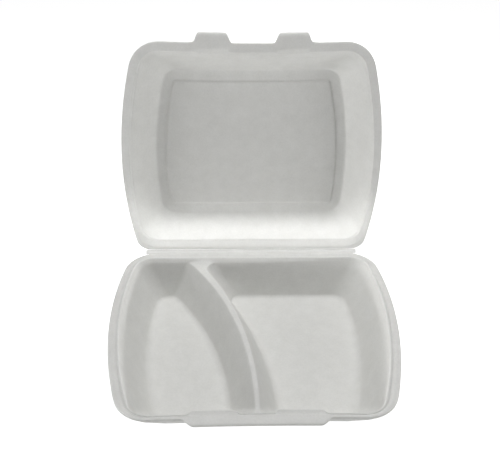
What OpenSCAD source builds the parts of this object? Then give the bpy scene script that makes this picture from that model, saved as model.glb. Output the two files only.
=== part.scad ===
// Hinged foam meal box with two compartments, standing open.
// Millimetres, +Z up, the front lip toward -Y, the fold at the back.
// Each half is one pressed sheet: a row of rings, drawn from the plan's side arcs and
// corner fillets, is lofted into the upper face and again, one sheet lower, into the under face.

/* [Whole box] */
// Width across the base rim at its widest
rim_w = 245; // [215:1:275]
// Depth of the base rim from the fold to the front edge
rim_d = 199; // [175:1:225]
// Width across the lid at its widest
lid_w = 237; // [208:1:266]
// Depth of the lid from the fold to its front edge
lid_d = 200; // [176:1:226]
// Height of the base rim above the table
base_h = 44; // [36:0.5:56]
// Inside depth of the lid
lid_deep = 27; // [20:0.5:36]
// Thickness of the foam sheet
sheet = 2.2; // [1.8:0.1:2.6]
// Angle of the lid above the flat, lying-open position
lid_up = 88; // [60:1:110]

/* [Plan outline] */
// Radius of the bowed sides of the base
side_r = 335; // [300:5:370]
// Distance of the base's widest place from the fold
side_at = 62; // [54:1:72]
// Hollow of the front edge at its middle
front_dip = 1.6; // [1:0.1:3]
// Corner radius of the base's cut edge at the front
front_corner = 28; // [24:1:32]
// Corner radius of the base's cut edge beside the fold
fold_corner = 28; // [24:1:32]
// Radius of the bowed sides of the lid
lid_side_r = 360; // [325:5:400]
// Distance of the lid's widest place from the fold
lid_side_at = 74; // [65:1:84]
// Corner radius of the lid's cut edge at the front
lid_front_corner = 27; // [23:1:31]
// Corner radius of the lid's cut edge beside the fold
lid_fold_corner = 13; // [11:0.5:16]

/* [Rim of the base] */
// Width of the rim from its cut edge to the wall
rim_wide = 9.3; // [8:0.1:11]
// Share of that width left at the front, where the wall turns out into the lip
front_share = 0.4; // [0.35:0.05:0.6]
// Depth of the stiffening groove along the rim
groove = 0.8; // [0.4:0.1:1.2]
// Plan radius of the pocket corners under the rim
pocket_corner = 15; // [11:0.5:18]

/* [Pockets] */
// Angle of the side walls from upright, in degrees
side_draft = 26; // [20:1:27]
// Angle of the back wall from upright, in degrees
back_draft = 14; // [9:1:17]
// Angle of the front wall from upright, in degrees
front_draft = 36; // [30:1:38]
// Radius between the walls and the floor at the front
side_sweep = 13; // [8:1:15]
// Radius between the walls and the floor at the back
back_sweep = 4; // [3:0.5:5]
// Plan radius of the large floor's corner beside the back wall
floor_corner = 12; // [9:0.5:14]
// Plan radius of the small floor's corner beside the back wall
small_floor_corner = 5; // [4:0.5:5.5]

/* [Divider] */
// Radius of the divider's left edge in plan
ridge_left_r = 286; // [270:1:310]
// Radius of its right edge, larger so that the ridge widens toward the back
ridge_right_r = 312; // [300:1:340]
// Offset of the ridge's front end from the middle
ridge_x = 0.5; // [-8:0.5:8]
// Distance of the ridge's straight-ahead place from the fold
ridge_at = 187; // [170:1:195]
// Drop of the ridge below the rim
ridge_drop = 4.5; // [4:0.1:8]
// Flat width of the ridge
ridge_flat = 1.2; // [0.8:0.1:2]
// Rounding of the ridge
ridge_round = 3; // [2.8:0.1:4]
// Angle of the divider's faces from upright, in degrees
ridge_draft = 25; // [18:1:28]
// Corner radius of the left pocket where the ridge meets the back wall
left_gusset = 8; // [6:0.5:10]
// Corner radius of the right pocket where the ridge meets the back wall
right_gusset = 11; // [8:0.5:16]
// Corner radius of both pockets where the ridge meets the front wall
front_gusset = 7; // [5:0.5:9]

/* [Front lip] */
// Reach of the lip beyond the front edge
lip_out = 5; // [4:0.5:8]
// Half width of the lip's straight part
lip_half = 43; // [38:0.5:48]
// Length of the S curve at each end of the lip
lip_ramp = 9; // [7:0.5:12]
// Fall of the lip toward its edge
lip_fall = 1; // [0.6:0.1:1.6]
// Reach of the two locking ledges back over the pockets
ledge_in = 3; // [2:0.1:4]
// Length of the curve at the notch end of a ledge
ledge_ramp = 2.5; // [2:0.1:3.5]
// Half width of the thumb notch between the ledges
notch_half = 12; // [10:0.5:14]

/* [Lid] */
// Width of the lid's flange
lid_flange = 7.6; // [7:0.1:9]
// Extra width of the flange along the fold
fold_wide = 2.4; // [1.6:0.1:3.2]
// Width of the flange's outer strip
strip_wide = 3.4; // [2.6:0.2:4.2]
// Fall of that strip beside the fold; it runs out to nothing at the front
strip_fall = 0.9; // [0.5:0.1:1.2]
// Depth of the step inside the flange
lid_step = 2; // [1.4:0.1:2.6]
// Width of the step, from the flange to the foot of the step
step_run = 0.6; // [0.4:0.1:0.9]
// Angle of the lid walls from upright, in degrees
lid_draft = 37; // [30:1:40]
// Radius between a lid wall and its panel
lid_sweep = 3; // [2:0.5:5]
// Width of the ledge around the raised panel
ledge = 7.5; // [5:0.5:9]
// Plan radius of the corners between lid walls and panel
panel_corner = 10; // [7:0.5:13]
// Rise of the panel's middle
panel_rise = 1.1; // [0.7:0.1:1.6]
// Reach of the closing tabs
tab_out = 8; // [6:0.5:10]
// Middle of each tab from the middle of the lid
tab_x = 33; // [30:0.5:36]
// Half width of a tab at its tip
tab_half = 11; // [9:0.5:13]
// Width of a tab's slanted side
tab_slant = 5; // [4:0.5:7]

/* [Fold] */
// Distance of each half's edge from the fold line
fold_set = 1.6; // [1.4:0.1:2]
// Half of the slit between the closed rims
fold_gap = 0.15; // [0.15:0.05:0.3]
// Thickness of the sheet where it is pressed thin for the fold
fold_thin = 0.9; // [0.7:0.1:1.1]

/* [Hidden] */

// Segments of a half gusset, a corner, a side, the back and the divider
nh = 3; nc = 6; ns = 14; nb = 6; nd = 14;
// Steps of the ridge rounding and of the sweep into the floor
nt = 2; nf = 5;
far = 100000;

// Plan sides as circles: centre x, centre y, radius, and 1 when the sheet lies inside, -1 when outside
half_chord = rim_w / 3;
front_r = (half_chord * half_chord + front_dip * front_dip) / (2 * front_dip);
front = [0, -rim_d + front_dip - front_r, front_r, -1];
right = [rim_w / 2 - side_r, -side_at, side_r, 1];
lid_front = [0, -lid_d + front_dip - front_r, front_r, -1];
lid_right = [lid_w / 2 - lid_side_r, -lid_side_at, lid_side_r, 1];
lid_left = [lid_side_r - lid_w / 2, -lid_side_at, lid_side_r, 1];
back = [0, -fold_set - far, far, 1];
// The divider as the right pocket sees it, and mirrored as the left pocket sees it
div_right = [ridge_x + ridge_flat / 2 - ridge_right_r, -ridge_at, ridge_right_r, -1];
div_left = [ridge_left_r - ridge_x + ridge_flat / 2, -ridge_at, ridge_left_r, 1];

function ease(t) = let (c = max(0, min(1, t))) c * c * (3 - 2 * c);
function mix(a, b, t) = a + (b - a) * t;
function inset(s, u) = s[2] - s[3] * u;
function turn(a, b) = let (d = (b - a) % 360) d > 180 ? d - 360 : d < -180 ? d + 360 : d;
function ang(s, p) = atan2(p[1] - s[1], p[0] - s[0]);
function on(s, u, x) = let (r = inset(s, u), h = x - s[0]) s[1] + sqrt(r * r - h * h);

// Crossing of two circles that lies nearest to a given place
function meet(a, ra, b, rb, near) =
    let (ab = [b[0] - a[0], b[1] - a[1]], d = norm(ab), e = ab / d,
         h = (ra * ra - rb * rb + d * d) / (2 * d), k = sqrt(max(0, ra * ra - h * h)),
         p = [a[0] + h * e[0] - k * e[1], a[1] + h * e[1] + k * e[0]],
         q = [a[0] + h * e[0] + k * e[1], a[1] + h * e[1] - k * e[0]])
    norm(p - near) < norm(q - near) ? p : q;

// Centre of the fillet r between side s inset by u and side t inset by v
function hub(s, u, t, v, r, near) = meet(s, inset(s, u + r), t, inset(t, v + r), near);
// Fillet from side s to side t about the centre k, the height running from z to y
function fillet(k, s, t, r, z, y, at) =
    let (a = ang(s, k) + (s[3] < 0 ? 180 : 0), b = ang(t, k) + (t[3] < 0 ? 180 : 0), w = turn(a, b))
    [for (f = at) [k[0] + r * cos(a + w * f), k[1] + r * sin(a + w * f), mix(z, y, f)]];
// Run along side s from the fillet centre k to the fillet centre m, inset and height going from p to q
function run(s, p, q, k, m, at) =
    let (a = ang(s, k), w = turn(a, ang(s, m)))
    [for (f = at) let (r = inset(s, mix(p[0], q[0], f)))
        [s[0] + r * cos(a + w * f), s[1] + r * sin(a + w * f), mix(p[1], q[1], f)]];
function steps(a, b, n) = [for (i = [a:b]) i / n];

// Closed ring of four sides: p and q hold inset and height where each side starts and ends,
// r the radius of the corner before it
function ring(s, p, q, r, near, fc, fs) =
    let (k = [for (i = [0:3]) let (j = (i + 3) % 4) hub(s[j], q[j][0], s[i], p[i][0], r[i], near[i])])
    [for (i = [0:3]) let (j = (i + 3) % 4)
        each concat(fillet(k[i], s[j], s[i], r[i], q[j][1], p[i][1], fc[i]),
                    run(s[i], p[i], q[i], k[i], k[(i + 1) % 4], fs[i]))];

// Wall section at step k: rounding or straight start, wall, sweep into the floor.
// Gives the inset and height on the upper face (side 0) or one sheet below it (side 1).
function section(k, side, u, z, round, draft, sweep, deep) =
    let (a = 90 - draft, t = side * sheet, rolled = round > 0,
         u1 = u + (rolled ? round * sin(a) : sheet * cos(a)),
         z1 = z - (rolled ? round * (1 - cos(a)) : sheet * sin(a)),
         z2 = -deep + sweep * (1 - cos(a)), u2 = u1 + (z1 - z2) / tan(a),
         b = k <= nt ? (rolled ? a * k / nt : a) : a * (1 - (k - nt - 1) / nf),
         p = k > nt ? [u2 + sweep * (sin(a) - sin(b)), -deep + sweep * (1 - cos(b))]
           : rolled ? [u + round * sin(b), z - round * (1 - cos(b))]
           : [mix(u, u1, k / nt), mix(z, z1, k / nt)])
    [p[0] - t * sin(b), p[1] - t * cos(b)];

// Triangles of a strip between two rows of points, wound to face up; flip for a mirrored row
function quad(a, b, c, d, flip) = flip ? [[a, d, c], [a, c, b]] : [[a, b, c], [a, c, d]];
// Solid between an upper face and the same face one sheet lower, closed along the first n points
module pressed(upper, lower, tris, n) {
    m = len(upper);
    polyhedron(points = concat(upper, lower), faces = concat(
        [for (t = tris) [t[0], t[2], t[1]]],
        [for (t = tris) [t[0] + m, t[1] + m, t[2] + m]],
        [for (i = [0:n - 1]) let (j = (i + 1) % n) each [[i, j, j + m], [i, j + m, i + m]]]),
        convexity = 12);
}

// Base
floor_deep = base_h - fold_gap - sheet;
rest_z = -ridge_drop;
wall_in = rim_wide * 1.065;
// Rim rows: inset, height, and the part of the sheet that the under face is set back by
rim_rows = [[0, -sheet / 7, 0, 1], [rim_wide * 0.24, 0, 0, 1], [rim_wide * 0.46, 0, 0.15, 1],
            [rim_wide * 0.63, -groove, 0.3, 1], [rim_wide * 0.8, 0, 0.7, 1],
            [rim_wide * 0.95, -sheet / 4, 0.95, 0.75], [rim_wide, -ridge_drop * 2 / 3, 1, 0.35]];
nr = len(rim_rows);
near_right = [[rim_w / 30, -rim_d * 0.94], [rim_w / 2, -rim_d], [rim_w / 2, 0], [-rim_w / 20, -rim_d / 10]];
near_left = [[rim_w / 30, -rim_d * 0.94], [rim_w / 2, -rim_d], [rim_w / 2, 0], [rim_w * 0.28, -rim_d / 10]];

// Locking ledges at the front: how far a front point moves back at x
function ledge_at(x) =
    ledge_in * ease((abs(x) - notch_half) / ledge_ramp)
    * (1 - ease((abs(x) - lip_half) / ledge_ramp / 1.6 - 0.5));
function ledged(ps, share) = [for (p = ps) p[1] > -rim_d * 0.8 ? p
    : [p[0], p[1] + share * ledge_at(p[0]), p[2]]];

// Pocket ring k on one face, for the divider d, its gusset radius g and the floor's corner radius at the back
function pocket_ring(k, side, d, g, floor_r, near, fc, fs) =
    let (deep = floor_deep, f = k / (nt + nf + 1), wf = wall_in * front_share,
         o = section(k, side, wall_in, rest_z, 0, side_draft, side_sweep, deep),
         ob = section(k, side, wall_in, rest_z, 0, side_draft, back_sweep * 1.5, deep),
         b = section(k, side, wall_in, rest_z, 0, back_draft, back_sweep, deep),
         e = section(k, side, wf, rest_z, 0, front_draft, side_sweep, deep),
         v = section(k, side, 0, rest_z, ridge_round, ridge_draft, side_sweep * 0.75, deep),
         vb = section(k, side, 0, rest_z, ridge_round, ridge_draft, back_sweep, deep),
         t = side * sheet * 0.6, low = back_sweep)
    ledged(ring([front, right, back, d], [e, o, b, vb], [e, ob, b, v],
                [front_gusset * mix(1, 1.3, f) + t, pocket_corner + t, mix(pocket_corner, floor_r, f) + t,
                 mix(g, low, f) + t], near, fc, fs), 1 - f);

// Fillet centres of the gussets, which set where the rim is cut for the divider
function gusset(d, g, near) =
    [hub(d, 0, front, wall_in * front_share, front_gusset, near[0]), hub(back, wall_in, d, 0, g, near[3])];
hub_right = gusset(div_right, right_gusset, near_right);
hub_left = gusset(div_left, left_gusset, near_left);
mid_front = (hub_right[0][0] - hub_left[0][0]) / 2;
mid_back = (hub_right[1][0] - hub_left[1][0]) / 2;

// Places along the front edge that carry the notch and the lip's curves
edge_x = [notch_half, notch_half + ledge_ramp, (notch_half + lip_half) / 2, lip_half, lip_half + lip_ramp / 3,
          lip_half + lip_ramp * 2 / 3, lip_half + lip_ramp, lip_half + lip_ramp * 2];
edge_from = hub_right[0][0];
edge_to = hub(front, 0, right, 0, front_corner, [rim_w / 2, -rim_d])[0];
front_at = [for (x = edge_x) (x - edge_from) / (edge_to - edge_from)];
nfr = len(front_at) + 1;
pocket_fc = [steps(0, 2 * nh, 2 * nh), steps(0, nc, nc), steps(0, nc, nc), steps(0, 2 * nh, 2 * nh)];
pocket_fs = [front_at, steps(1, ns - 1, ns), steps(1, nb - 1, nb), steps(1, nd - 1, nd)];

// Half of a rim row, from the divider's front end round the right side to its back end
function half_row(u, z, xf, gf, xb, gb) =
    let (rf = mix(front_corner, pocket_corner, u / wall_in),
         rb = mix(fold_corner, pocket_corner, u / wall_in),
         v = u * front_share,
         kf = hub(front, v, right, u, rf, [rim_w / 2, -rim_d]),
         kb = hub(right, u, back, u, rb, [rim_w / 2, 0]),
         tf = front[0] + inset(front, v) * cos(ang(front, kf)))
    concat([for (i = [0:nh - 1]) let (x = mix(xf, gf, i / nh)) [x, on(front, v, x), z]],
           [for (f = concat([0], front_at)) let (x = mix(gf, tf, f)) [x, on(front, v, x), z]],
           fillet(kf, front, right, rf, z, z, steps(0, nc, nc)),
           run(right, [u, z], [u, z], kf, kb, steps(1, ns - 1, ns)),
           fillet(kb, right, back, rb, z, z, steps(0, nc, nc)),
           [for (i = [1:nb]) let (x = mix(kb[0], gb, i / nb)) [x, on(back, u, x), z]],
           [for (i = [1:nh]) let (x = mix(gb, xb, i / nh)) [x, on(back, u, x), z]]);

mh = 2 * nh + nfr + 2 * (nc + 1) + ns - 1 + nb;
nrim = 2 * mh - 2;
npk = 2 * (2 * nh + 1) + (nfr - 1) + 2 * (nc + 1) + (ns - 1) + (nb - 1) + (nd - 1);
nk = nt + nf + 2;

// Front of row q: the cut edge swings out and down into the lip, the inner rows back into the ledges
function lip(x) = 1 - ease((abs(x) - lip_half) / lip_ramp);
function lipped(ps, q) =
    q > 2 ? ledged(ps, min(1, (q - 2) / 2))
    : q > 0 ? ps
    : [for (p = ps) p[1] > -rim_d * 0.8 ? p
        : [p[0], p[1] - lip_out * lip(p[0]), p[2] - lip_fall * lip(p[0])]];

function rim_row(q, side) =
    let (w = rim_rows[q], t = side * sheet, u = w[0] - t * w[2], z = w[1] - t * w[3],
         r = half_row(u, z, mid_front, hub_right[0][0], mid_back, hub_right[1][0]),
         l = half_row(u, z, -mid_front, hub_left[0][0], -mid_back, hub_left[1][0]))
    lipped(concat(r, [for (i = [mh - 2:-1:1]) [-l[i][0], l[i][1], l[i][2]]]), q);

function mirrored(ps) = [for (p = ps) [-p[0], p[1], p[2]]];
// Place on a floor, just in front of the box's middle, from which its triangles fan out
function middle(ps) = let (c = [for (p = ps) 1] * ps / len(ps)) [c[0], -rim_d * 0.53, c[2]];
function base_face(side) =
    let (rt = [for (k = [0:nk - 1]) pocket_ring(k, side, div_right, right_gusset, floor_corner, near_right,
                                                pocket_fc, pocket_fs)],
         lf = [for (k = [0:nk - 1]) mirrored(pocket_ring(k, side, div_left, left_gusset, small_floor_corner, near_left,
                                                         pocket_fc, pocket_fs))])
    concat([for (q = [0:nr - 1]) each rim_row(q, side)],
           [for (k = [0:nk - 1]) each rt[k]], [for (k = [0:nk - 1]) each lf[k]],
           [middle(rt[nk - 1]), middle(lf[nk - 1])]);

function base_tris() =
    let (r0 = nr * nrim, l0 = r0 + nk * npk, m0 = l0 + nk * npk, w = (nr - 1) * nrim)
    concat(
        [for (q = [0:nr - 2]) for (i = [0:nrim - 1]) let (j = (i + 1) % nrim, a = q * nrim)
            each quad(a + i, a + j, a + nrim + j, a + nrim + i, false)],
        [for (i = [0:mh - 2])
            each quad(w + i, w + i + 1, r0 + nh + i + 1, r0 + nh + i, false)],
        [for (i = [0:mh - 2]) let (a = w + (nrim - i) % nrim, b = w + (nrim - i - 1) % nrim)
            each quad(a, b, l0 + nh + i + 1, l0 + nh + i, true)],
        [[w, r0 + nh, l0 + nh], [w + mh - 1, l0 + nh + mh - 1, r0 + nh + mh - 1]],
        [for (j = [0:npk - mh]) let (a = (nh + mh - 1 + j) % npk, b = (a + 1) % npk)
            each quad(r0 + a, l0 + a, l0 + b, r0 + b, false)],
        [for (c = [r0, l0]) for (k = [0:nk - 2]) for (i = [0:npk - 1])
            let (j = (i + 1) % npk, a = c + k * npk)
            each quad(a + i, a + j, a + npk + j, a + npk + i, c == l0)],
        [for (i = [0:npk - 1]) let (j = (i + 1) % npk, a = r0 + (nk - 1) * npk) [a + i, a + j, m0]],
        [for (i = [0:npk - 1]) let (j = (i + 1) % npk, a = l0 + (nk - 1) * npk) [a + j, a + i, m0 + 1]]);

// Lid, as a tray that lies open behind the fold; its rows run from the cut edge to the panel
lid_near = [[-lid_w / 2, -lid_d], [lid_w / 2, -lid_d], [lid_w / 2, 0], [-lid_w / 2, 0]];
lid_edge = hub(lid_front, 0, lid_right, 0, lid_front_corner, lid_near[1])[0];
tab_in = tab_x - tab_half - tab_slant;
tab_to = tab_x + tab_half + tab_slant;
lid_half_x = [tab_in / 4, tab_in, tab_in + tab_slant / 3, tab_in + tab_slant * 2 / 3, tab_in + tab_slant,
              tab_in + tab_slant * 1.6, tab_to - tab_slant * 1.6, tab_to - tab_slant, tab_to - tab_slant * 2 / 3,
              tab_to - tab_slant / 3, tab_to, tab_to * 1.25];
lid_edge_x = concat([for (i = [len(lid_half_x) - 1:-1:0]) -lid_half_x[i]], lid_half_x);
lid_front_at = [for (x = lid_edge_x) (x + lid_edge) / (2 * lid_edge)];
lid_fc = [for (i = [0:3]) steps(0, nc, nc)];
lid_fs = [lid_front_at, steps(1, ns - 1, ns), steps(1, nb, nb + 1), steps(1, ns - 1, ns)];
nlid = 4 * (nc + 1) + len(lid_front_at) + 2 * (ns - 1) + nb;

// Lid ring at inset and height p; along the fold it is wider by fold and lower by fall
function lid_ring(p, fold, front_r, fold_r, fall = 0) =
    let (low = [p[0], p[1] - fall], b = [p[0] + fold, p[1] - fall])
    ring([lid_front, lid_right, back, lid_left], [p, p, b, low], [p, low, b, p],
         [front_r, front_r, fold_r, fold_r], lid_near, lid_fc, lid_fs);
function tab(x) = let (a = abs(abs(x) - tab_x)) 1 - ease((a - tab_half) / tab_slant);
function tabbed(ps) = [for (p = ps) p[1] > -lid_d * 0.9 ? p : [p[0], p[1] - tab_out * tab(p[0]), p[2]]];

lid_wall = lid_flange + step_run * 2;
lid_foot = lid_step + step_run / 3;
panel_in = section(nt + nf + 1, 0, lid_wall, -lid_foot, 0, lid_draft, lid_sweep, lid_deep)[0];
function lid_face(side) =
    let (t = side * sheet, fr = lid_front_corner, br = lid_fold_corner, c = panel_corner,
         up = -lid_deep + panel_rise - t)
    concat(
        tabbed(lid_ring([0, -t], 0, fr, br, strip_fall)),
        lid_ring([strip_wide * 0.8, -t], 0, fr * 0.9, br * 1.4, strip_fall * 0.8),
        lid_ring([strip_wide, -t], 0, fr * 0.88, br * 1.4),
        lid_ring([lid_flange - step_run - t * 0.5, -t], fold_wide, fr * 0.68, br * 1.25),
        lid_ring([lid_flange - t * 0.8, -lid_step / 5 - t * 0.9], fold_wide, fr * 0.66, br * 1.25),
        lid_ring([lid_flange + step_run - t * 0.85, -lid_step - t * 0.75], fold_wide, fr * 0.64, br * 1.25),
        [for (k = concat([0], [for (i = [nt:nt + nf + 1]) i]))
            let (s = section(k, side, lid_wall, -lid_foot, 0, lid_draft, lid_sweep, lid_deep),
                 f = k / (nt + nf + 1))
            each lid_ring(s, fold_wide, mix(fr * 0.6, c, f) + t * 0.6, mix(br * 1.25, c, f) + t * 0.6)],
        lid_ring([panel_in + ledge, -lid_deep - t], fold_wide, c * 0.4, c * 0.4),
        lid_ring([panel_in + ledge + panel_rise, up], fold_wide, c * 0.35, c * 0.35),
        [[0, -lid_d / 2, up]]);
lid_rows = nf + 11;
function lid_tris() =
    concat(
        [for (q = [0:lid_rows - 2]) for (i = [0:nlid - 1]) let (j = (i + 1) % nlid, a = q * nlid)
            each quad(a + i, a + j, a + nlid + j, a + nlid + i, false)],
        [for (i = [0:nlid - 1]) let (j = (i + 1) % nlid, a = (lid_rows - 1) * nlid)
            [a + i, a + j, lid_rows * nlid]]);

module at_fold() { translate([0, rim_d / 2, base_h]) children(); }

module base() {
    color([0.93, 0.93, 0.91])
        at_fold() translate([0, 0, -fold_gap])
            pressed(base_face(0), base_face(1), base_tris(), nrim);
}

module lid() {
    color([0.93, 0.93, 0.91])
        at_fold() rotate([lid_up, 0, 0]) rotate([0, 0, 180]) translate([0, 0, -fold_gap])
            pressed(lid_face(0), lid_face(1), lid_tris(), nlid);
}

// Thin band of the same sheet, bent from the base rim up into the lid rim
fold_len = rim_w * 0.86;
fold_mid = fold_gap + sheet / 2;
fold_air = 0.2;
function bent(a, r, d) =
    let (c = [r * sin(a), -r * cos(a)], e = [cos(a), sin(a)]) c + e * d;
function side_of(w) =
    concat([[-fold_set + fold_air, -fold_mid + w]],
           [for (i = [0:6]) bent(lid_up * i / 6, fold_mid - w, 0)],
           [bent(lid_up, fold_mid - w, fold_set - fold_air)]);
module fold() {
    w = fold_thin / 2;
    inner = side_of(w);
    outer = side_of(-w);
    color([0.95, 0.95, 0.93])
        at_fold() rotate([90, 0, 90]) translate([0, 0, -fold_len / 2])
            linear_extrude(fold_len)
                polygon(concat(outer, [for (i = [len(inner) - 1:-1:0]) inner[i]]));
}

base();
lid();
fold();
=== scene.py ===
"""Hinged foam meal box with two compartments, standing open.

Both halves are pressed from one foam sheet. Each shell is lofted from closed loops, which run from
the floor or panel out to the rim, round the cut edge, and back along the under face.
"""
import math

import bmesh
import bpy
from mathutils import Matrix, Vector, noise
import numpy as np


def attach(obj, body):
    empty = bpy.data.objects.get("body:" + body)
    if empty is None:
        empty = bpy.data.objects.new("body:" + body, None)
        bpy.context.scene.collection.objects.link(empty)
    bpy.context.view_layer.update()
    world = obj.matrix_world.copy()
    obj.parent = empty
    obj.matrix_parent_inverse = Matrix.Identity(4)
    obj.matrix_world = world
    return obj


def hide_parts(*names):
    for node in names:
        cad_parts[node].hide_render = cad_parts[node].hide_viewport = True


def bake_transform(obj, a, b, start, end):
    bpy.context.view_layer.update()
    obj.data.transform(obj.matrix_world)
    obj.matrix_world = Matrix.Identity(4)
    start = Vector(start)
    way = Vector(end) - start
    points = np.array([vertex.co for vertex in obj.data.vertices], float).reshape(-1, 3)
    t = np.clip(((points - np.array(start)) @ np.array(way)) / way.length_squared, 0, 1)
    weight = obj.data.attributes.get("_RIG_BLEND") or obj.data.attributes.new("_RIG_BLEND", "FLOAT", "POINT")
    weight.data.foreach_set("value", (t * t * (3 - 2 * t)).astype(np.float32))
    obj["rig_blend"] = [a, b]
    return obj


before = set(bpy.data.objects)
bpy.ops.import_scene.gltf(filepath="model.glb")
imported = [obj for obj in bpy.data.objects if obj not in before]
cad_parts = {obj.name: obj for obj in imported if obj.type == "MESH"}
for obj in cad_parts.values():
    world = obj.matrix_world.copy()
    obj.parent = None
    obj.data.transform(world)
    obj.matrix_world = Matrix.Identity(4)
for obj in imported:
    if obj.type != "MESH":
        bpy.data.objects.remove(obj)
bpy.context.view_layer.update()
scene = bpy.context.scene
scene.view_settings.view_transform = "Standard"

# Camera, at the photograph's angle
pitch, yaw, roll = (math.radians(a) for a in (32.19, 1.27, 0.39))
ahead = Vector((math.sin(yaw) * math.cos(pitch), math.cos(yaw) * math.cos(pitch), -math.sin(pitch)))
across = Vector((math.cos(yaw), -math.sin(yaw), 0))
upward = across.cross(ahead)
tilted = across * math.cos(roll) + upward * math.sin(roll)
crown = upward * math.cos(roll) - across * math.sin(roll)
lens = bpy.data.cameras.new("camera")
lens.sensor_fit = "HORIZONTAL"
lens.sensor_width = 36
lens.lens = 36.72
camera = bpy.data.objects.new("camera", lens)
scene.collection.objects.link(camera)
camera.matrix_world = (Matrix.Translation((-0.01084, -0.32229, 0.33251))
                       @ Matrix((tilted, crown, -ahead)).transposed().to_4x4())
scene.camera = camera

# Sizes of the box in millimetres. The fold line is y = 0 and the rim z = 0. They are those of the solids,
# with a narrower round on the divider's ridge and a slope of the lid's flange along the fold.
rim_w, rim_d, base_h, lid_deep, sheet, lid_up = 245, 199, 44, 27, 2.2, 88
lid_w, lid_d = 237, 200
rim_wide, front_share, wall_in = 9.3, 0.4, 9.9
pocket_corner, front_corner, fold_corner = 15, 28, 28
lid_front_corner, lid_fold_corner, panel_corner = 27, 13, 10
side_draft, back_draft, front_draft = 26, 14, 36
side_sweep, back_sweep = 13, 4
floor_corner, small_floor_corner = 12, 5
ridge_drop, ridge_round, ridge_draft = 4.5, 1.8, 25
gusset_right, gusset_left, gusset_front = 11, 8, 7
lip_out, lip_half, lip_ramp, lip_fall, ledge_in, notch_half = 5, 43, 9, 1, 3, 12
lid_flange, lid_step, step_run, lid_draft, lid_sweep = 7.6, 2, 0.6, 37, 3
lid_wall, lid_foot = lid_flange + step_run * 2, lid_step + step_run / 3
strip_wide, strip_fall, fold_wide, fold_slope = 3.4, 0.9, 2.4, 2
ledge, panel_rise = 7.5, 1.1
tab_out, tab_x, tab_half, tab_slant = 8, 33, 11, 5
fold_set, fold_lap, fold_gap, fold_thin, fold_half = 1.6, 0.2, 0.15, 0.9, 105
floor_deep = base_h - fold_gap - sheet

# Sides in plan as circles: centre, radius, and 1 where the sheet lies inside, -1 where outside
front_bow = 1.6
front_r = ((rim_w / 3) ** 2 + front_bow * front_bow) / (2 * front_bow)
side_r, side_widest, lid_side_r, lid_side_widest = 335, -62, 360, -74
ridge_right_r, ridge_left_r, ridge_front, ridge_flat, ridge_shift = 312, 286, -187, 0.5, 0.6
FRONT = (0, -rim_d + front_bow - front_r, front_r, -1)
RIGHT = (rim_w / 2 - side_r, side_widest, side_r, 1)
LID_FRONT = (0, -lid_d + front_bow - front_r, front_r, -1)
LID_RIGHT = (lid_w / 2 - lid_side_r, lid_side_widest, lid_side_r, 1)
LID_LEFT = (lid_side_r - lid_w / 2, lid_side_widest, lid_side_r, 1)
BACK = (0, -fold_set - 100000, 100000, 1)
RIDGE_RIGHT = (ridge_flat + ridge_shift - ridge_right_r, ridge_front, ridge_right_r, -1)
RIDGE_LEFT = (ridge_left_r - ridge_flat + ridge_shift, ridge_front, ridge_left_r, 1)


def ease(t):
    t = max(0, min(1, t))
    return t * t * (3 - 2 * t)


def mix(a, b, t):
    return a + (b - a) * t


def inset(s, u):
    return s[2] - s[3] * u


def bearing(s, p):
    return math.atan2(p[1] - s[1], p[0] - s[0])


def turn(a, b):
    return (b - a + math.pi) % (2 * math.pi) - math.pi


def on_side(s, u, x):
    return s[1] + math.sqrt(inset(s, u) ** 2 - (x - s[0]) ** 2)


def corner_hub(s, u, t, v, r, near):
    """Centre of the corner fillet r between side s inset by u and side t inset by v."""
    ra, rb = inset(s, u + r), inset(t, v + r)
    a, ab = Vector(s[:2]), Vector(t[:2]) - Vector(s[:2])
    d = ab.length
    e = ab / d
    h = (ra * ra - rb * rb + d * d) / (2 * d)
    k = math.sqrt(max(0, ra * ra - h * h))
    both = [a + e * h + Vector((-e.y, e.x)) * k, a + e * h - Vector((-e.y, e.x)) * k]
    return min(both, key=lambda p: (p - Vector(near)).length)


def corner(k, s, t, r, z0, z1, at):
    a = bearing(s, k) + (math.pi if s[3] < 0 else 0)
    w = turn(a, bearing(t, k) + (math.pi if t[3] < 0 else 0))
    return [(k.x + r * math.cos(a + w * f), k.y + r * math.sin(a + w * f), mix(z0, z1, f)) for f in at]


def side_run(s, p, q, k, m, at):
    a = bearing(s, k)
    w = turn(a, bearing(s, m))
    out = []
    for f in at:
        r = inset(s, mix(p[0], q[0], f))
        out.append((s[0] + r * math.cos(a + w * f), s[1] + r * math.sin(a + w * f), mix(p[1], q[1], f)))
    return out


def plan_loop(sides, start, end, radii, near, corner_at, side_at):
    """Closed loop of four sides; start and end hold inset and height at the ends of each side."""
    hubs = [corner_hub(sides[i - 1], end[i - 1][0], sides[i], start[i][0], radii[i], near[i])
            for i in range(4)]
    out = []
    for i in range(4):
        out += corner(hubs[i], sides[i - 1], sides[i], radii[i], end[i - 1][1], start[i][1], corner_at[i])
        out += side_run(sides[i], start[i], end[i], hubs[i], hubs[(i + 1) % 4], side_at[i])
    return out


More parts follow.
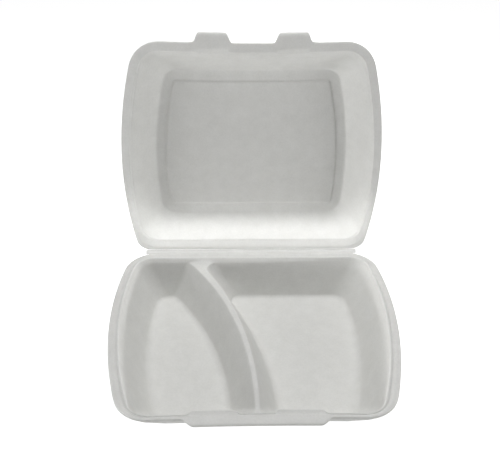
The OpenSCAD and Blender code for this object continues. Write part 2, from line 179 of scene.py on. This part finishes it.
def wall(s, under, u, z, round_r, draft, sweep, deep):
    """Inset and height at station s of a wall: 0 to 1 its upper edge, to 2 the wall, to 3 the sweep."""
    a = math.radians(90 - draft)
    u1 = u + (round_r * math.sin(a) if round_r else sheet * math.cos(a))
    z1 = z - (round_r * (1 - math.cos(a)) if round_r else sheet * math.sin(a))
    z2 = -deep + sweep * (1 - math.cos(a))
    u2 = u1 + (z1 - z2) / math.tan(a)
    b = a
    if s <= 1:
        if round_r:
            b = a * s
            p = (u + round_r * math.sin(b), z - round_r * (1 - math.cos(b)))
        else:
            p = (mix(u, u1, s), mix(z, z1, s))
    elif s <= 2:
        p = (mix(u1, u2, s - 1), mix(z1, z2, s - 1))
    else:
        b = a * (3 - s)
        p = (u2 + sweep * (math.sin(a) - math.sin(b)), -deep + sweep * (1 - math.cos(b)))
    return p[0] - under * sheet * math.sin(b), p[1] - under * sheet * math.cos(b)


def depth_share(s):
    return 0.25 * s if s <= 1 else mix(0.25, 0.375, s - 1) if s <= 2 else mix(0.375, 1, s - 2)


def spaced(a, b, n):
    return [i / n for i in range(a, b + 1)]


# Loops and shells
def closed_loop(bm, points):
    verts = [bm.verts.new(p) for p in points]
    return verts, [bm.edges.new(pair) for pair in zip(verts, verts[1:] + verts[:1])]


def grow_loop(bm, loop, points):
    """Extrudes a closed loop and moves the new one to the given points."""
    verts, edges = loop
    made = bmesh.ops.extrude_edge_only(bm, edges=edges)["geom"]
    fresh = {g for g in made if isinstance(g, bmesh.types.BMVert)}
    verts = [next(e.other_vert(v) for e in v.link_edges if e.other_vert(v) in fresh) for v in verts]
    for v, p in zip(verts, points):
        v.co = p
    return verts, [bm.edges.get(pair) for pair in zip(verts, verts[1:] + verts[:1])]


def loft(bm, rows):
    loops = [closed_loop(bm, rows[0])]
    for points in rows[1:]:
        loops.append(grow_loop(bm, loops[-1], points))
    return loops


def fill_in(bm, outer, steps, middle):
    """Closes a loop toward a middle point with shrinking loops and a last small cap."""
    rim = [v.co.copy() for v in outer[0]]
    for f, rise in steps:
        points = [(mix(middle[0], p.x, f), mix(middle[1], p.y, f), p.z + rise) for p in rim]
        outer = grow_loop(bm, outer, points)
    cap = bmesh.ops.contextual_create(bm, geom=outer[1])["faces"]
    bmesh.ops.poke(bm, faces=cap)


def settle(points, amount, deep):
    """Slight unevenness of pressed foam on walls and floors, none at the rim."""
    out = []
    for x, y, z in points:
        m = amount * ease((-z - 6) / deep)
        n = noise.noise_vector(Vector((x * 0.021, y * 0.021, z * 0.03 + 3.7)))
        out.append((x + n.x * m, y + n.y * m, z + n.z * m))
    return out


def make_piece(name, bm, place, material, node, body, smooth=1):
    bmesh.ops.transform(bm, matrix=Matrix.Scale(0.001, 4) @ place, verts=bm.verts)
    bmesh.ops.recalc_face_normals(bm, faces=bm.faces)
    mesh = bpy.data.meshes.new(name)
    bm.to_mesh(mesh)
    bm.free()
    mesh.shade_smooth()
    mesh.materials.append(material)
    piece = bpy.data.objects.new(name, mesh)
    scene.collection.objects.link(piece)
    if smooth:
        surface = piece.modifiers.new("smooth", "SUBSURF")
        surface.levels = surface.render_levels = smooth
    if body:
        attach(piece, body)
    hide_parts(node)
    return piece


# Pressed foam: fine closed cells, a faint cloudiness, and open cells along the cut edges
def foam_material(name, dark, light, gloss, cells):
    material = bpy.data.materials.new(name)
    material.use_nodes = True
    nodes, links = material.node_tree.nodes, material.node_tree.links
    skin = nodes["Principled BSDF"]
    skin.inputs["Specular IOR Level"].default_value = 0.2
    skin.inputs["Subsurface Weight"].default_value = 0.08
    skin.inputs["Subsurface Radius"].default_value = (1.0, 0.97, 0.9)
    skin.inputs["Subsurface Scale"].default_value = 0.002
    where = nodes.new("ShaderNodeTexCoord")

    def noise_tex(scale, detail, rough):
        tex = nodes.new("ShaderNodeTexNoise")
        tex.inputs["Scale"].default_value = scale
        tex.inputs["Detail"].default_value = detail
        tex.inputs["Roughness"].default_value = rough
        links.new(where.outputs["Object"], tex.inputs["Vector"])
        return tex

    def ramp(source, low, high, a, b):
        r = nodes.new("ShaderNodeValToRGB")
        r.color_ramp.elements[0].position = low
        r.color_ramp.elements[1].position = high
        r.color_ramp.elements[0].color = (*a, 1)
        r.color_ramp.elements[1].color = (*b, 1)
        links.new(source, r.inputs["Fac"])
        return r

    def bump(strength, distance, height, after=None):
        b = nodes.new("ShaderNodeBump")
        b.inputs["Strength"].default_value = strength
        b.inputs["Distance"].default_value = distance
        links.new(height, b.inputs["Height"])
        if after:
            links.new(after.outputs["Normal"], b.inputs["Normal"])
        return b

    cut = nodes.new("ShaderNodeAttribute")
    cut.attribute_name = "cut"
    cloud = noise_tex(95, 4, 0.6)
    speck = noise_tex(620, 3, 0.7)
    cell = nodes.new("ShaderNodeTexVoronoi")
    cell.inputs["Scale"].default_value = cells
    links.new(where.outputs["Object"], cell.inputs["Vector"])

    tone = ramp(cloud.outputs["Fac"], 0.3, 0.7, dark, light)
    fleck = ramp(speck.outputs["Fac"], 0.3, 0.62, (0.93, 0.93, 0.93), (1, 1, 1))
    body = nodes.new("ShaderNodeMix")
    body.data_type = "RGBA"
    body.blend_type = "MULTIPLY"
    body.inputs["Factor"].default_value = 0.7
    links.new(tone.outputs["Color"], body.inputs["A"])
    links.new(fleck.outputs["Color"], body.inputs["B"])
    edge = nodes.new("ShaderNodeMix")
    edge.data_type = "RGBA"
    edge.inputs["B"].default_value = (0.7, 0.7, 0.67, 1)
    reach = ramp(cut.outputs["Fac"], 0.45, 1.0, (0, 0, 0), (0.5, 0.5, 0.5))
    links.new(reach.outputs["Color"], edge.inputs["Factor"])
    links.new(body.outputs["Result"], edge.inputs["A"])
    links.new(edge.outputs["Result"], skin.inputs["Base Color"])
    shine = ramp(speck.outputs["Fac"], 0.25, 0.75, (gloss,) * 3, (gloss + 0.16,) * 3)
    links.new(shine.outputs["Color"], skin.inputs["Roughness"])

    coarse = bump(0.22, 0.0004, cell.outputs["Distance"])
    fine = bump(0.25, 0.0002, speck.outputs["Fac"], coarse)
    links.new(fine.outputs["Normal"], skin.inputs["Normal"])
    return material


FOAM = foam_material("pressed_foam", (0.79, 0.79, 0.768), (0.835, 0.835, 0.815), 0.52, 1100)
# Lighter copy of the foam for the fold band. Its brighter colour is painted light, standing in for the light
# on the fold. Its finer cells and lower roughness are for the thinner pressed sheet.
FOLD_FOAM_PAINTED_LIGHT = foam_material("fold_foam_painted_light", (0.82, 0.82, 0.8), (0.86, 0.86, 0.84), 0.4, 1500)

# Base
corner_n, gusset_n, side_n, back_n, ridge_n = 10, 4, 24, 12, 26
EDGE_X = [notch_half - 2, notch_half, notch_half + 0.8, notch_half + 1.7, notch_half + 2.5, 20, 27, 34, 40,
          lip_half, lip_half + 1.5, lip_half + 3, lip_half + 4.5, lip_half + 6, lip_half + 7.5,
          lip_half + 9, lip_half + 12, 64, 75]
NEAR_RIGHT = [(8, -rim_d + 12), (rim_w / 2, -rim_d), (rim_w / 2, 0), (-12, -20)]
NEAR_LEFT = [(8, -rim_d + 12), (rim_w / 2, -rim_d), (rim_w / 2, 0), (70, -20)]
# Rim section: inset, height, and how far the under face is set back and down, in sheets
RIM = [(0, -0.4, 0, 1), (0.5, -0.12, 0, 1), (1.4, 0, 0, 1), (2.9, 0.02, 0.05, 1), (4.3, -0.02, 0.15, 1),
       (5.1, -0.5, 0.22, 1), (5.9, -0.9, 0.3, 1), (6.7, -0.5, 0.5, 1), (7.4, -0.02, 0.68, 1),
       (8.2, -0.1, 0.85, 0.9), (8.75, -0.55, 0.93, 0.78), (9.1, -1.5, 0.98, 0.55), (rim_wide, -3, 1, 0.35)]
STATIONS = [0, 0.3, 0.65, 1, 1.2, 1.4, 1.6, 1.8, 2, 2.15, 2.3, 2.5, 2.7, 2.85, 3]


def ledge_at(x):
    return (ledge_in * ease((abs(x) - notch_half) / 2.5)
            * (1 - ease((abs(x) - lip_half - 2) / 4)))


def at_front(p):
    return p[1] < -rim_d * 0.8


def ledged(points, share):
    return [(p[0], p[1] + share * ledge_at(p[0]), p[2]) if at_front(p) else p for p in points]


def lipped(points, u):
    share = max(0, 1 - u / 2.2)
    out = []
    for p in points:
        k = share * (1 - ease((abs(p[0]) - lip_half) / lip_ramp)) if at_front(p) else 0
        out.append((p[0], p[1] - lip_out * k, p[2] - lip_fall * k))
    return ledged(out, ease((u - 4.3) / 3.2))


def mirrored(points):
    return [(-p[0], p[1], p[2]) for p in points]


def gusset(ridge, g, near):
    return (corner_hub(ridge, 0, FRONT, wall_in * front_share, gusset_front, near[0]),
            corner_hub(BACK, wall_in, ridge, 0, g, near[3]))


HUB_RIGHT = gusset(RIDGE_RIGHT, gusset_right, NEAR_RIGHT)
HUB_LEFT = gusset(RIDGE_LEFT, gusset_left, NEAR_LEFT)
MID_FRONT = (HUB_RIGHT[0].x - HUB_LEFT[0].x) / 2
MID_BACK = (HUB_RIGHT[1].x - HUB_LEFT[1].x) / 2
EDGE_TO = corner_hub(FRONT, 0, RIGHT, 0, front_corner, (rim_w / 2, -rim_d)).x
FRONT_AT = [(x - HUB_RIGHT[0].x) / (EDGE_TO - HUB_RIGHT[0].x) for x in EDGE_X]
POCKET_CORNERS = [spaced(0, 2 * gusset_n, 2 * gusset_n), spaced(0, corner_n, corner_n),
                  spaced(0, corner_n, corner_n), spaced(0, 2 * gusset_n, 2 * gusset_n)]
POCKET_SIDES = [FRONT_AT, spaced(1, side_n - 1, side_n), spaced(1, back_n - 1, back_n),
                spaced(1, ridge_n - 1, ridge_n)]


def pocket_loop(s, under, ridge, g, floor_r, near):
    f = depth_share(s)
    z = -ridge_drop
    side = wall(s, under, wall_in, z, 0, side_draft, side_sweep, floor_deep)
    side_back = wall(s, under, wall_in, z, 0, side_draft, back_sweep * 1.5, floor_deep)
    back = wall(s, under, wall_in, z, 0, back_draft, back_sweep, floor_deep)
    front = wall(s, under, wall_in * front_share, z, 0, front_draft, side_sweep, floor_deep)
    rest = wall(s, under, 0, z, ridge_round, ridge_draft, side_sweep * 0.75, floor_deep)
    rest_back = wall(s, under, 0, z, ridge_round, ridge_draft, back_sweep, floor_deep)
    t = under * sheet * 0.6
    radii = [mix(gusset_front, 9, f) + t, pocket_corner + t, mix(pocket_corner, floor_r, f) + t,
             mix(g, back_sweep, f) + t]
    points = plan_loop([FRONT, RIGHT, BACK, ridge], [front, side, back, rest_back],
                       [front, side_back, back, rest], radii, near, POCKET_CORNERS, POCKET_SIDES)
    return ledged(points, 1 - f)


def half_rim(u, z, x_front, g_front, x_back, g_back):
    """One half of a rim loop, from the divider's front end round the side to its back end."""
    rf, rb = mix(front_corner, pocket_corner, u / wall_in), mix(fold_corner, pocket_corner, u / wall_in)
    v = u * front_share
    kf = corner_hub(FRONT, v, RIGHT, u, rf, (rim_w / 2, -rim_d))
    kb = corner_hub(RIGHT, u, BACK, u, rb, (rim_w / 2, 0))
    tf = FRONT[0] + inset(FRONT, v) * math.cos(bearing(FRONT, kf))
    xs = [mix(x_front, g_front, i / gusset_n) for i in range(gusset_n)]
    xs += [mix(g_front, tf, f) for f in [0] + FRONT_AT]
    out = [(x, on_side(FRONT, v, x), z) for x in xs]
    out += corner(kf, FRONT, RIGHT, rf, z, z, spaced(0, corner_n, corner_n))
    out += side_run(RIGHT, (u, z), (u, z), kf, kb, spaced(1, side_n - 1, side_n))
    out += corner(kb, RIGHT, BACK, rb, z, z, spaced(0, corner_n, corner_n))
    xs = [mix(kb.x, g_back, i / back_n) for i in range(1, back_n + 1)]
    xs += [mix(g_back, x_back, i / gusset_n) for i in range(1, gusset_n + 1)]
    return out + [(x, on_side(BACK, u, x), z) for x in xs]


def rim_loop(row, under):
    t = under * sheet
    u, z = row[0] - t * row[2], row[1] - t * row[3]
    right = half_rim(u, z, MID_FRONT, HUB_RIGHT[0].x, MID_BACK, HUB_RIGHT[1].x)
    left = half_rim(u, z, -MID_FRONT, HUB_LEFT[0].x, -MID_BACK, HUB_LEFT[1].x)
    return lipped(right + mirrored(left[-2:0:-1]), row[0])


def base_face(bm, under):
    """One face of the base: rim loops, two pockets and the ridge between them. Returns its edge loop."""
    rims = loft(bm, [rim_loop(row, under) for row in RIM])
    rough = 0 if under else 0.3
    right = loft(bm, [settle(pocket_loop(s, under, RIDGE_RIGHT, gusset_right, floor_corner, NEAR_RIGHT),
                             rough, 18) for s in STATIONS])
    left = loft(bm, [settle(mirrored(pocket_loop(s, under, RIDGE_LEFT, gusset_left, small_floor_corner,
                                                 NEAR_LEFT)), rough, 18) for s in STATIONS])
    inner = rims[-1]
    half = len(inner[0]) // 2
    n = len(right[0][0])
    first, last = gusset_n, gusset_n + half
    bmesh.ops.bridge_loops(bm, edges=inner[1][:half] + right[0][1][first:last])
    bmesh.ops.bridge_loops(bm, edges=inner[1][half:] + left[0][1][first:last])
    ridge = [i % n for i in range(last, n + first)]
    bmesh.ops.bridge_loops(bm, edges=[right[0][1][i] for i in ridge] + [left[0][1][i] for i in ridge])
    bmesh.ops.contextual_create(bm, geom=[inner[0][0], right[0][0][first], left[0][0][first]])
    bmesh.ops.contextual_create(bm, geom=[inner[0][half], right[0][0][last], left[0][0][last]])
    for pocket in (right, left):
        verts = pocket[-1][0]
        middle = sum((v.co for v in verts), Vector()) / len(verts)
        rise = 0 if under else 0.35
        fill_in(bm, pocket[-1], [(0.8, 0.3 * rise), (0.6, 0.6 * rise), (0.4, 0.85 * rise), (0.2, rise),
                                 (0.06, rise)], middle)
    return rims[0]


def close_edge(bm, upper, lower):
    """Cut face between the two faces of a shell, marked for its open cells."""
    bmesh.ops.bridge_loops(bm, edges=upper[1] + lower[1])
    for v in upper[0] + lower[0]:
        v[bm.verts.layers.float["cut"]] = 1


base = bmesh.new()
base.verts.layers.float.new("cut")
close_edge(base, base_face(base, 0), base_face(base, 1))
make_piece("base_shell", base, Matrix.Translation((0, rim_d / 2, base_h - fold_gap)), FOAM, "base", "base")

# Lid, drawn as a tray that lies open behind the fold, then stood up
LID_NEAR = [(-lid_w / 2, -lid_d), (lid_w / 2, -lid_d), (lid_w / 2, 0), (-lid_w / 2, 0)]
LID_EDGE = corner_hub(LID_FRONT, 0, LID_RIGHT, 0, lid_front_corner, LID_NEAR[1]).x
tab_in, tab_to = tab_x - tab_half - tab_slant, tab_x + tab_half + tab_slant
HALF_X = [4, 9, 13] + [tab_in + tab_slant * i / 5 for i in range(6)] + [25, 33, 41]
HALF_X += [tab_to - tab_slant * (5 - i) / 5 for i in range(6)] + [tab_to + 5, tab_to + 14, 75]
LID_X = [-x for x in reversed(HALF_X)] + HALF_X
LID_CORNERS = [spaced(0, corner_n, corner_n)] * 4
LID_SIDES = [[(x + LID_EDGE) / (2 * LID_EDGE) for x in LID_X], spaced(1, side_n - 1, side_n),
             spaced(1, 23, 24), spaced(1, side_n - 1, side_n)]
# Flange section: inset, height, how far the under face is set back and down in sheets, and the share of
# the outer strip's fall
FLANGE = [(0, -0.3, 0, 1, 1), (0.5, -0.06, 0, 1, 1), (1.4, 0, 0, 1, 0.95), (2.3, 0, 0, 1, 0.88),
          (2.75, 0, 0.02, 1, 0.78), (3.1, 0, 0.05, 1, 0.4), (strip_wide, 0, 0.1, 1, 0.06),
          (3.9, 0, 0.15, 1, 0), (5.2, 0, 0.3, 1, 0), (6.4, 0, 0.45, 1, 0),
          (lid_flange - step_run, -0.03, 0.55, 1, 0),
          (7.35, -0.16, 0.7, 0.95, 0), (lid_flange, -0.45, 0.8, 0.9, 0), (7.85, -1.15, 0.83, 0.85, 0),
          (8.08, -1.78, 0.85, 0.8, 0), (lid_flange + step_run + 0.1, -2.04, 0.83, 0.7, 0)]
LID_STATIONS = [0, 0.5, 1, 1.08, 1.13, 1.16, 1.19, 1.24, 1.4, 1.6, 1.8, 2, 2.25, 2.5, 2.75, 3]
panel_in = wall(3, 0, lid_wall, -lid_foot, 0, lid_draft, lid_sweep, lid_deep)[0]
PANEL = [(ledge - 3, 0), (ledge - 0.6, 0), (ledge, 0.08), (ledge + panel_rise / 2, panel_rise * 0.5),
         (ledge + panel_rise, panel_rise - 0.08), (ledge + panel_rise + 0.7, panel_rise),
         (ledge + 8, panel_rise)]


def tab(x):
    return 1 - ease((abs(abs(x) - tab_x) - tab_half) / tab_slant)


def lid_loop(u, z, fold, front_radius, fold_radius, fall=0, fold_z=None):
    """Loop at one inset and height. Along the fold it is wider by fold, lower by fall, or at fold_z."""
    level, low, back = (u, z), (u, z - fall), (u + fold, z - fall if fold_z is None else fold_z)
    return plan_loop([LID_FRONT, LID_RIGHT, BACK, LID_LEFT], [level, level, back, low],
                     [level, low, back, level], [front_radius, front_radius, fold_radius, fold_radius],
                     LID_NEAR, LID_CORNERS, LID_SIDES)


def at_lid_front(p):
    return p[1] < -lid_d * 0.9


def tabbed(points, u):
    """Draws the tabs out of the flange, and runs the step out into a soft slope behind each of them."""
    share = max(0, 1 - u / 1.5)
    slope = -lid_foot * ease((u - 4) / (lid_wall - 4))
    out = []
    for x, y, z in points:
        k = tab(x) if at_lid_front((x, y)) else 0
        out.append((x, y - tab_out * share * k, z + (slope - flange_z(u)) * 0.9 * k))
    return out


def flange_z(u):
    """Height of the flange's upper face at inset u."""
    for (a, za, *_), (b, zb, *_) in zip(FLANGE, FLANGE[1:]):
        if u <= b:
            return mix(za, zb, (u - a) / (b - a))
    return FLANGE[-1][1]


def creased(points, s):
    """Presses a fine crease across the lid's front wall."""
    deep = 0.35 * max(0, 1 - abs(s - 1.16) / 0.03)
    out = []
    for p in points:
        k = deep * ease((78 - abs(p[0])) / 8) if at_lid_front(p) else 0
        out.append((p[0], p[1] - k * 0.8, p[2] - k * 0.6))
    return out


def lid_face(bm, under):
    t = under * sheet
    rough = 0 if under else 0.35
    rows = []
    for u, z, back, down, fall in FLANGE:
        f = ease((u - strip_wide) / (lid_flange - step_run - strip_wide))
        widened = mix(1, 1.4, u / strip_wide) if u < strip_wide else mix(1.4, 1.25, f)
        sloped = -fold_slope * max(0, min(1, (u - 3.6) / (lid_flange - step_run - 3.6)))
        fold_z = z * (1 + sloped / lid_foot) + sloped - strip_fall * fall - t * down
        points = lid_loop(u - t * back, z - t * down, fold_wide * f,
                          lid_front_corner * (1 - 0.36 * u / lid_wall), lid_fold_corner * widened,
                          strip_fall * fall, fold_z)
        rows.append(tabbed(points, u))
    for s in LID_STATIONS:
        u, z = wall(s, under, lid_wall, -lid_foot, 0, lid_draft, lid_sweep, lid_deep)
        f = depth_share(s)
        points = lid_loop(u, z, fold_wide, mix(lid_front_corner * 0.6, panel_corner, f) + t * 0.6,
                          mix(lid_fold_corner * 1.25, panel_corner, f) + t * 0.6)
        rows.append(creased(settle(points, rough, 14), s))
    for u, z in PANEL:
        r = panel_corner * (0.7 if u < ledge - 2 else 0.4 if z < panel_rise * 0.3 else 0.35)
        points = lid_loop(panel_in + u, -lid_deep + z - t, fold_wide, r, r)
        rows.append(settle(points, rough, 14))
    loops = loft(bm, rows)
    rise = 0 if under else -0.3
    fill_in(bm, loops[-1], [(0.8, 0.4 * rise), (0.6, 0.7 * rise), (0.4, 0.9 * rise), (0.2, rise),
                            (0.06, rise)], (0, -lid_d / 2))
    return loops[0]


lid = bmesh.new()
lid.verts.layers.float.new("cut")
close_edge(lid, lid_face(lid, 0), lid_face(lid, 1))
stand_up = (Matrix.Translation((0, rim_d / 2, base_h)) @ Matrix.Rotation(math.radians(lid_up), 4, "X")
            @ Matrix.Rotation(math.pi, 4, "Z") @ Matrix.Translation((0, 0, -fold_gap)))
make_piece("lid_shell", lid, stand_up, FOAM, "lid", "lid")

# Fold: the sheet pressed thin between the two rims, bent round the fold line
fold_mid = fold_gap + sheet / 2


def at_lid_rim(r):
    """Point at radius r on the band's end, where it meets the lid rim."""
    a, run = math.radians(lid_up), fold_set - fold_lap
    return r * math.sin(a) + run * math.cos(a), -r * math.cos(a) + run * math.sin(a)


def fold_outer():
    """Outer face of the band in y and z, from the base rim round the fold line to the lid rim."""
    r = fold_mid + fold_thin / 2
    out = [(-fold_set + fold_lap, -r)]
    for i in range(13):
        a = math.radians(lid_up * i / 12)
        out.append((r * math.sin(a), -r * math.cos(a)))
    out.append(at_lid_rim(r))
    return out


def fold_inner():
    """Inner face of the band: a shallow hollow from the crease at the base rim up to the lid rim."""
    start = Vector((-fold_set + fold_lap, -fold_mid))
    stop = Vector(at_lid_rim(fold_mid - fold_thin / 2))
    middle = Vector((-0.35, -0.35))
    curve = []
    for i in range(15):
        f = i / 14
        curve.append(tuple(start.lerp(middle, f).lerp(middle.lerp(stop, f), f)))
    return curve


band = bmesh.new()
outline = fold_inner() + fold_outer()[::-1]
section = closed_loop(band, [(-fold_half, y, z) for y, z in outline])
end = bmesh.ops.contextual_create(band, geom=section[1])["faces"]
grown = bmesh.ops.extrude_face_region(band, geom=end)["geom"]
far_end = [g for g in grown if isinstance(g, bmesh.types.BMVert)]
bmesh.ops.translate(band, vec=(2 * fold_half, 0, 0), verts=far_end)
along = [e for e in band.edges if abs(e.verts[0].co.x - e.verts[1].co.x) > 1]
bmesh.ops.subdivide_edges(band, edges=along, cuts=41, use_grid_fill=True)
# The fold band takes the lighter foam copy, whose brighter colour is painted light.
fold_band = make_piece("fold_band", band, Matrix.Translation((0, rim_d / 2, base_h)), FOLD_FOAM_PAINTED_LIGHT, "fold",
                       None, 0)
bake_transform(fold_band, "base", "lid", start=(0, 0.0985, 0.0428), end=(0, 0.1007, 0.0450))

# Pale floor and light
floor_mesh = bpy.data.meshes.new("floor")
floor_bm = bmesh.new()
bmesh.ops.create_grid(floor_bm, x_segments=1, y_segments=1, size=6)
floor_bm.to_mesh(floor_mesh)
floor_bm.free()
floor = bpy.data.objects.new("floor", floor_mesh)
scene.collection.objects.link(floor)


def seen_directly(nodes, links):
    path = nodes.new("ShaderNodeLightPath")
    a = nodes.new("ShaderNodeMath")
    a.operation = "MAXIMUM"
    b = nodes.new("ShaderNodeMath")
    b.operation = "MAXIMUM"
    links.new(path.outputs["Is Camera Ray"], a.inputs[0])
    links.new(path.outputs["Is Glossy Ray"], a.inputs[1])
    links.new(a.outputs[0], b.inputs[0])
    links.new(path.outputs["Is Transmission Ray"], b.inputs[1])
    return b.outputs[0]


paper = bpy.data.materials.new("white_floor")
paper.use_nodes = True
nodes, links = paper.node_tree.nodes, paper.node_tree.links
nodes.remove(nodes["Principled BSDF"])
matte = nodes.new("ShaderNodeBsdfDiffuse")
matte.inputs["Color"].default_value = (0.8, 0.8, 0.8, 1)
glow = nodes.new("ShaderNodeEmission")
lift = nodes.new("ShaderNodeMath")
lift.operation = "MULTIPLY"
lift.inputs[1].default_value = 0.9
links.new(seen_directly(nodes, links), lift.inputs[0])
links.new(lift.outputs[0], glow.inputs["Strength"])
both = nodes.new("ShaderNodeAddShader")
links.new(matte.outputs[0], both.inputs[0])
links.new(glow.outputs[0], both.inputs[1])
links.new(both.outputs[0], nodes["Material Output"].inputs["Surface"])
floor_mesh.materials.append(paper)

world = bpy.data.worlds.new("studio")
scene.world = world
world.use_nodes = True
nodes, links = world.node_tree.nodes, world.node_tree.links
ambient = nodes["Background"]
ambient.inputs["Color"].default_value = (1, 1, 1, 1)
ambient.inputs["Strength"].default_value = 0.1
white = nodes.new("ShaderNodeBackground")
white.inputs["Color"].default_value = (1, 1, 1, 1)
choose = nodes.new("ShaderNodeMixShader")
links.new(seen_directly(nodes, links), choose.inputs[0])
links.new(ambient.outputs[0], choose.inputs[1])
links.new(white.outputs[0], choose.inputs[2])
links.new(choose.outputs[0], nodes["World Output"].inputs["Surface"])


def soft_box(name, place, target, size, power, spread=180):
    lamp = bpy.data.lights.new(name, "AREA")
    lamp.shape = "RECTANGLE"
    lamp.size, lamp.size_y = size
    lamp.energy = power
    lamp.spread = math.radians(spread)
    obj = bpy.data.objects.new(name, lamp)
    scene.collection.objects.link(obj)
    obj.location = place
    obj.rotation_euler = (Vector(target) - Vector(place)).to_track_quat("-Z", "Y").to_euler()
    obj.visible_camera = False


soft_box("overhead", (0.01, 0.1, 1), (0.01, 0.1, 0), (0.3, 0.22), 5.1)
soft_box("front_left", (-0.89, -0.86, 0.2), (0, 0.1, 0.14), (0.6, 0.3), 2.1)
soft_box("right", (1.21, -0.36, 0.085), (0, 0.1, 0.14), (0.6, 0.05), 5.2)
soft_box("left", (-1.21, -0.36, 0.085), (0, 0.1, 0.14), (0.6, 0.05), 5)
soft_box("behind", (0.45, 1.25, 0.4), (0, 0.12, 0.12), (0.7, 0.5), 3)
soft_box("over_the_fold", (0, -0.07, 0.345), (0, 0.1105, 0.0605), (0.25, 0.012), 0.013, 10)

bpy.context.view_layer.update()
